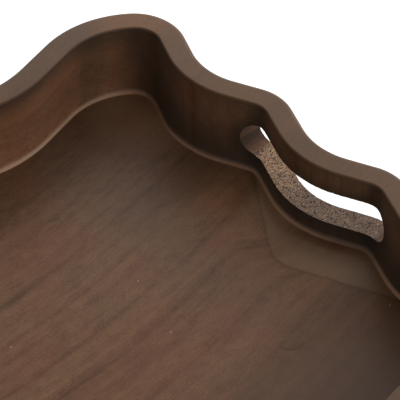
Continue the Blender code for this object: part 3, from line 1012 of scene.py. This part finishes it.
def sawn_wood():
    """The hand slots' faces: torn, pitted wood along the flats, weathered grey on the right
    half, and smoother and darker at the round ends, where the cutter turned."""
    material = bpy.data.materials.new("sawn_wood")
    material.use_nodes = True
    tree = material.node_tree
    shader = tree.nodes["Principled BSDF"]
    place = add_node(tree, "TexCoord", {}).outputs["Object"]
    y = parts_of(tree, place)[1]
    grit = fibres(tree, place, SAWN_GRIT_SIZE, SAWN_GRIT_DETAIL)
    holes = between(tree, fibres(tree, place, HOLE_SIZE), HOLE_FROM, HOLE_TO)
    splinters = between(tree, fibres(tree, place, SPLINTER_SIZE), SPLINTER_FROM, SPLINTER_TO)
    weathered = between(tree, y, WEATHERED_FROM_Y, WEATHERED_TO_Y)
    lightness = swayed(tree, SAWN_LIGHTNESS, (fibres(tree, place, SAWN_BROAD_SIZE), SAWN_BROAD_WEIGHT),
                       (grit, SAWN_GRIT_WEIGHT))
    torn_colour = stained(tree, lightness, SAWN_LIGHT, SAWN_DARK)
    for mask, share, colour in ((weathered, WEATHERED_SHARE, SAWN_GREY),
                                (splinters, SPLINTER_SHARE, SAWN_FIBRE),
                                (holes, HOLE_SHARE, SAWN_HOLE)):
        torn_colour = stained(tree, product(tree, mask, share), colour, torn_colour)
    burnished = between(tree, fibres(tree, place, BURNISH_SIZE, GRAIN_DETAIL), BURNISH_FROM, BURNISH_TO)
    end_colour = stained(tree, burnished, SLOT_END_LIGHT, SLOT_END_DARK)
    at_end = between(tree, sum_of(tree, "ABSOLUTE", y), SLOT_HALF_FLAT, SLOT_HALF_FLAT + SLOT_END_BLEND)
    tree.links.new(stained(tree, at_end, end_colour, torn_colour), shader.inputs["Base Color"])
    shader.inputs["Roughness"].default_value = SAWN_ROUGHNESS
    shader.inputs["Specular IOR Level"].default_value = SAWN_SHINE
    height = sum_of(tree, "MULTIPLY_ADD", holes, -HOLE_DEPTH, grit)
    height = product(tree, height, spared(tree, at_end, SLOT_END_FLATTER))
    relief = {"Height": height, "Strength": SAWN_BUMP_STRENGTH, "Distance": SAWN_BUMP_DEPTH}
    tree.links.new(add_node(tree, "Bump", relief).outputs[0], shader.inputs["Normal"])
    return material


def cleaned(mesh):
    """Takes out the spare points that a cut leaves along its edge, where only two edges meet."""
    shape = bmesh.new()
    shape.from_mesh(mesh)
    spare = [point for point in shape.verts if len(point.link_edges) == 2]
    bmesh.ops.dissolve_verts(shape, verts=spare)
    shape.to_mesh(mesh)
    shape.free()


def finished(piece):
    """The piece with its cuts made, its arrises kept crisp and its flats kept flat."""
    graph = bpy.context.evaluated_depsgraph_get()
    mesh = bpy.data.meshes.new_from_object(piece.evaluated_get(graph))
    piece.modifiers.clear()
    piece.data = mesh
    cleaned(mesh)
    mesh.set_sharp_from_angle(angle=EDGE_ANGLE)
    flats = piece.modifiers.new("flats", "WEIGHTED_NORMAL")
    flats.keep_sharp = True


def stave_edge(y, way):
    """One edge of a stave's slab: at the hairline glue joint, or clear of the tray's side."""
    if abs(y) > HALF_WIDTH - GLUE_GAP_IN_CAD:
        return y + way * CUT_OVERRUN
    return y + way * (GLUE_GAP_IN_CAD - GLUE_LINE) / 2


def parted(kind, side, blank, groups, saws=()):
    """One stave, parted from the carved blank at its glue lines and dressed over its node."""
    hand = "left" if side > 0 else "right"
    node = "stave_" + hand + "_" + kind
    low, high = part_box(node)
    stave = linked("carved_" + hand + "_" + kind, blank.copy())
    stave.data.materials.append(wood_stain_and_painted_light("stain_and_painted_light_" + hand + "_" + kind, *groups))
    slab = stave_slab(stave.name + "_slab", stave_edge(low[1], -1), stave_edge(high[1], 1))
    cut(stave, "INTERSECT", slab)
    for saw in saws:
        cut(stave, "DIFFERENCE", saw)
    finished(stave)
    bpy.data.objects.remove(slab)
    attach(stave, "root")
    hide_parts(node)


wood_groups = (wood_figure(grain_lay(), growth_line()), painted_wall_shade(), floor_marks_and_painted_light())
carved = carved_blank()
rough = sawn_wood()
slot_saws = [slot_saw(1, rough), slot_saw(-1, rough)]
for hand_side in (1, -1):
    parted("handle", hand_side, carved, wood_groups, slot_saws)
for saw in slot_saws:
    bpy.data.objects.remove(saw)

# Inner staves. The next stave on each side, of the same stained wood. They carry the floor
# and a short stretch of each end wall.

for hand_side in (1, -1):
    parted("inner", hand_side, carved, wood_groups)

# Wall staves. The outermost stave on each side, of the same stained wood. Nearly all of it
# is carved away but the long scalloped side wall and the tray's corners.

for hand_side in (1, -1):
    parted("wall", hand_side, carved, wood_groups)
bpy.data.meshes.remove(carved)

# Table top. A plain white board that the tray stands on, with white behind it. It isn't part
# of the tray.

BOARD_HALF_SIZE = 6.0
BOARD_DROP = 0.1 * MM
BOARD_COLOUR = (0.72, 0.72, 0.72, 1.0)
BOARD_GLOW = 0.5
WHITE = (1.0, 1.0, 1.0, 1.0)


def board_material():
    """White paint. The camera and reflections see it brighter, but it keeps its shadows."""
    material = bpy.data.materials.new("white_board")
    material.use_nodes = True
    tree = material.node_tree
    tree.nodes.remove(tree.nodes["Principled BSDF"])
    paint = add_node(tree, "BsdfDiffuse", {"Color": BOARD_COLOUR}).outputs[0]
    glow = add_node(tree, "Emission", {"Color": WHITE, "Strength": BOARD_GLOW}).outputs[0]
    lifted = add_node(tree, "AddShader", {0: paint, 1: glow}).outputs[0]
    path = add_node(tree, "LightPath", {})
    seen = sum_of(tree, "MAXIMUM", path.outputs["Is Camera Ray"], path.outputs["Is Glossy Ray"])
    surface = add_node(tree, "MixShader", {0: seen, 1: paint, 2: lifted}).outputs[0]
    tree.links.new(surface, tree.nodes["Material Output"].inputs["Surface"])
    return material


half = BOARD_HALF_SIZE
corners = [(-half, -half), (half, -half), (half, half), (-half, half)]
board_mesh = bpy.data.meshes.new("board")
board_mesh.from_pydata([(x, y, -BOARD_DROP) for x, y in corners], [], [(0, 1, 2, 3)])
board = linked("board", board_mesh)
board_mesh.materials.append(board_material())

# Light. A white studio: an even soft glow all round and seven soft boxes. Most light comes from
# beyond the front end and the far left corner, so the floor shines a little and the end wall
# is dim. The box beyond the right side lights the left wall.

WORLD_GLOW = 0.34
FULL_LEVEL = math.pi ** 2
LAMP_DISTANCE = 1.5
LAMP_AIM = (0.12, 0.03, 0.0)

# The soft boxes: azimuth and elevation in degrees, size in metres, and share of full light
SOFT_BOXES = {
    "front_box": (0.0, 20.0, 0.65, 0.184),
    "high_front_box": (0.0, 40.0, 0.9, 0.077),
    "corner_box": (45.0, 22.0, 0.65, 0.086),
    "high_corner_box": (45.0, 40.0, 0.9, 0.133),
    "side_box": (-90.0, 22.0, 0.65, 0.092),
    "right_box": (-45.0, 22.0, 0.65, 0.046),
    "back_box": (-135.0, 22.0, 0.65, 0.042),
}


def studio_world():
    """White all round: strength 1 where it is seen or mirrored, dimmer where it lights."""
    world = bpy.data.worlds.new("studio")
    world.use_nodes = True
    tree = world.node_tree
    background = tree.nodes["Background"]
    background.inputs["Color"].default_value = WHITE
    path = add_node(tree, "LightPath", {})
    seen = sum_of(tree, "MAXIMUM", path.outputs["Is Camera Ray"], path.outputs["Is Glossy Ray"])
    seen = sum_of(tree, "MAXIMUM", seen, path.outputs["Is Transmission Ray"])
    strength = sum_of(tree, "MULTIPLY_ADD", seen, 1.0 - WORLD_GLOW, WORLD_GLOW)
    tree.links.new(strength, background.inputs["Strength"])
    bpy.context.scene.world = world


def soft_box(name, azimuth, elevation, size, share):
    """A square lamp that faces the tray. Its share of full light falls on a flat floor."""
    lamp = bpy.data.lights.new(name, "AREA")
    lamp.shape = "SQUARE"
    lamp.size = size
    turn = math.radians(azimuth)
    rise = math.sin(math.radians(elevation))
    reach = math.cos(math.radians(elevation))
    lamp.energy = share * FULL_LEVEL * LAMP_DISTANCE ** 2 / rise
    box = linked(name, lamp)
    out = Vector((reach * math.cos(turn), reach * math.sin(turn), rise))
    box.location = Vector(LAMP_AIM) + out * LAMP_DISTANCE
    box.rotation_euler = out.to_track_quat("Z", "Y").to_euler()


studio_world()
for box_name, place_and_light in SOFT_BOXES.items():
    soft_box(box_name, *place_and_light)

# Camera. It looks down on the far left corner and the front hand slot, from beyond the back
# right corner.

CAMERA_AIM = (152.22 * MM, 44.18 * MM, FLOOR_THICKNESS)
CAMERA_DISTANCE = 1010.5 * MM
CAMERA_TURN = math.radians(47.239)
CAMERA_PITCH = math.radians(44.572)
CAMERA_ROLL = math.radians(-3.303)
CAMERA_LENS = 176.4
CAMERA_SENSOR = 36.0

away = Vector((math.sin(CAMERA_TURN), math.cos(CAMERA_TURN), 0.0))
level = Vector((math.cos(CAMERA_TURN), -math.sin(CAMERA_TURN), 0.0))
zenith = Vector((0.0, 0.0, 1.0))
back = zenith * math.sin(CAMERA_PITCH) - away * math.cos(CAMERA_PITCH)
upright = away * math.sin(CAMERA_PITCH) + zenith * math.cos(CAMERA_PITCH)
right = level * math.cos(CAMERA_ROLL) - upright * math.sin(CAMERA_ROLL)
upright = level * math.sin(CAMERA_ROLL) + upright * math.cos(CAMERA_ROLL)
camera_data = bpy.data.cameras.new("camera")
camera_data.lens = CAMERA_LENS
camera_data.sensor_width = CAMERA_SENSOR
camera = linked("camera", camera_data)
camera.matrix_world = Matrix.Translation(Vector(CAMERA_AIM) + back * CAMERA_DISTANCE) @ Matrix(
    (right, upright, back)).transposed().to_4x4()
bpy.context.scene.camera = camera
bpy.context.scene.view_settings.view_transform = "Standard"
